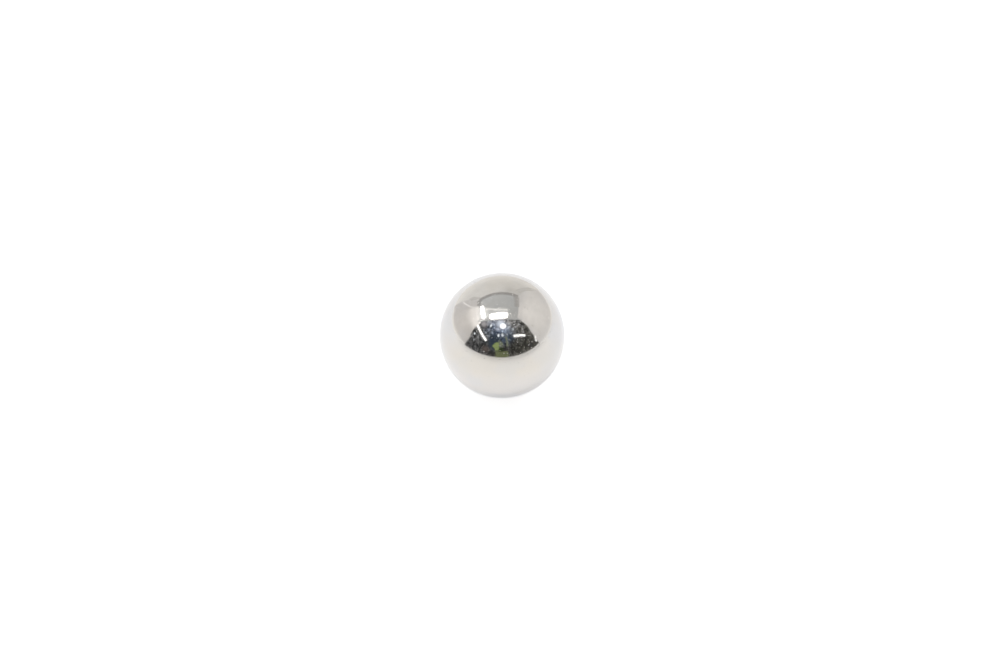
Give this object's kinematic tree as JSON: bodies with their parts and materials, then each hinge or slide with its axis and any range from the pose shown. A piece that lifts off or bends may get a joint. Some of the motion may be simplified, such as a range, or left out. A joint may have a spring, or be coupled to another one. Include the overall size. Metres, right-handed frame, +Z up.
{
  "type": "steel ball",
  "caption": "Plain solid steel ball with a mirror-bright lapped surface, for rolling, bearing, latching or use as a small weight.",
  "frame": {"origin": "centre of the ball", "axes": "+Z up; a sphere is the same about every axis, so X and Y are free"},
  "size_m": [0.0126, 0.0126, 0.0126],
  "materials": {
    "polished_steel": "polished"
  },
  "bodies": {
    "root": {"ball": "polished_steel"}
  },
  "joints": []
}
